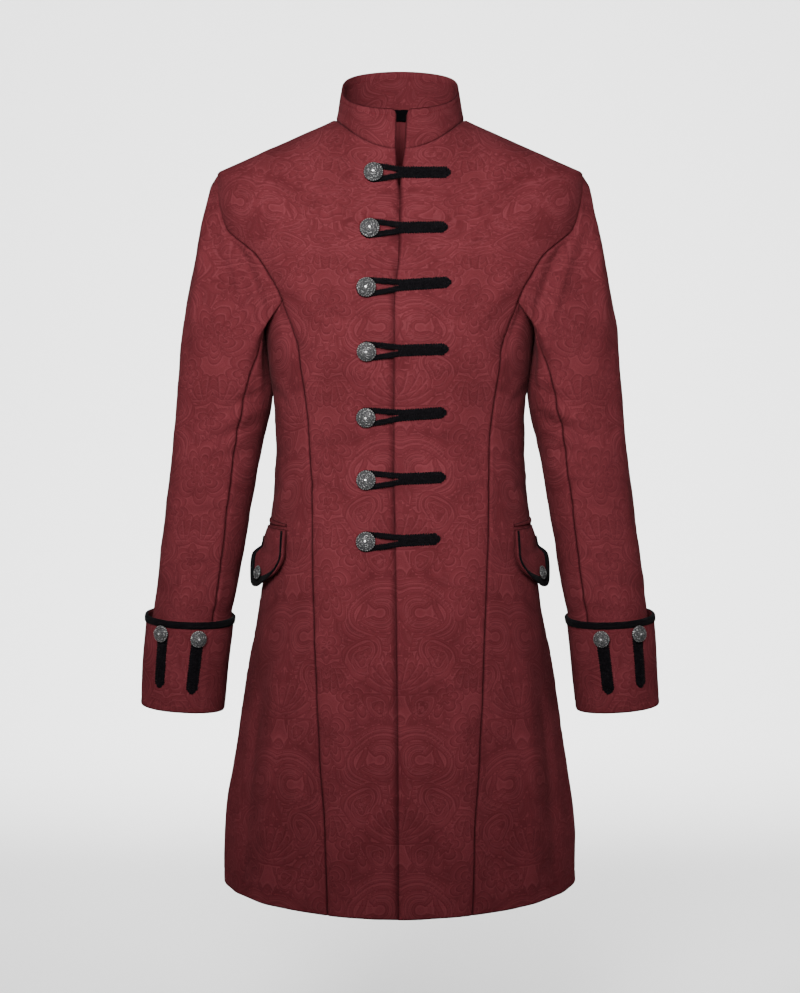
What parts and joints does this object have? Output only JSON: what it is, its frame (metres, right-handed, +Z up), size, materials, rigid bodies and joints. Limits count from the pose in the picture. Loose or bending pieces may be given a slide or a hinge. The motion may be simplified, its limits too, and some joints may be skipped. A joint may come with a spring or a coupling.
{
  "type": "stand-collar frock coat",
  "caption": "Knee-length stand-collar frock coat in burgundy floral damask, worn form with no wearer, closed with braided frogs and domed buttons.",
  "frame": {"origin": "midway between the two side neck points, where the wearer's neck and shoulders carry the coat", "axes": "+Z up, the fronts face -Y, +X is the wearer's left"},
  "size_m": [0.6428, 0.378, 1.0167],
  "materials": {
    "damask": "tone-on-tone floral jacquard, satin ground",
    "black_braid": "matt black braid with a fuzzy edge",
    "aged_metal": "antique silver filigree, blackened in its recesses",
    "label": "plain black woven label"
  },
  "bodies": {
    "root": {"front_right": "damask", "front_left": "damask", "side_front_right": "damask", "side_front_left": "damask", "side_back_right": "damask", "side_back_left": "damask", "back_right": "damask", "back_left": "damask", "collar": "damask", "upper_sleeve_right": "damask", "upper_sleeve_left": "damask", "under_sleeve_right": "damask", "under_sleeve_left": "damask", "cuff_right": "damask", "cuff_left": "damask", "cuff_binding_right": "black_braid", "cuff_binding_left": "black_braid", "cuff_tab_right_1": "black_braid", "cuff_tab_right_2": "black_braid", "cuff_tab_left_1": "black_braid", "cuff_tab_left_2": "black_braid", "cuff_button_right_1": "aged_metal", "cuff_button_right_2": "aged_metal", "cuff_button_left_1": "aged_metal", "cuff_button_left_2": "aged_metal", "flap_right": "damask", "flap_left": "damask", "flap_trim_right": "black_braid", "flap_trim_left": "black_braid", "flap_welt_right": "damask", "flap_welt_left": "damask", "flap_button_right": "aged_metal", "flap_button_left": "aged_metal", "frog_1": "black_braid", "frog_2": "black_braid", "frog_3": "black_braid", "frog_4": "black_braid", "frog_5": "black_braid", "frog_6": "black_braid", "frog_7": "black_braid", "front_button_1": "aged_metal", "front_button_2": "aged_metal", "front_button_3": "aged_metal", "front_button_4": "aged_metal", "front_button_5": "aged_metal", "front_button_6": "aged_metal", "front_button_7": "aged_metal", "neck_label": "label"}
  },
  "joints": []
}
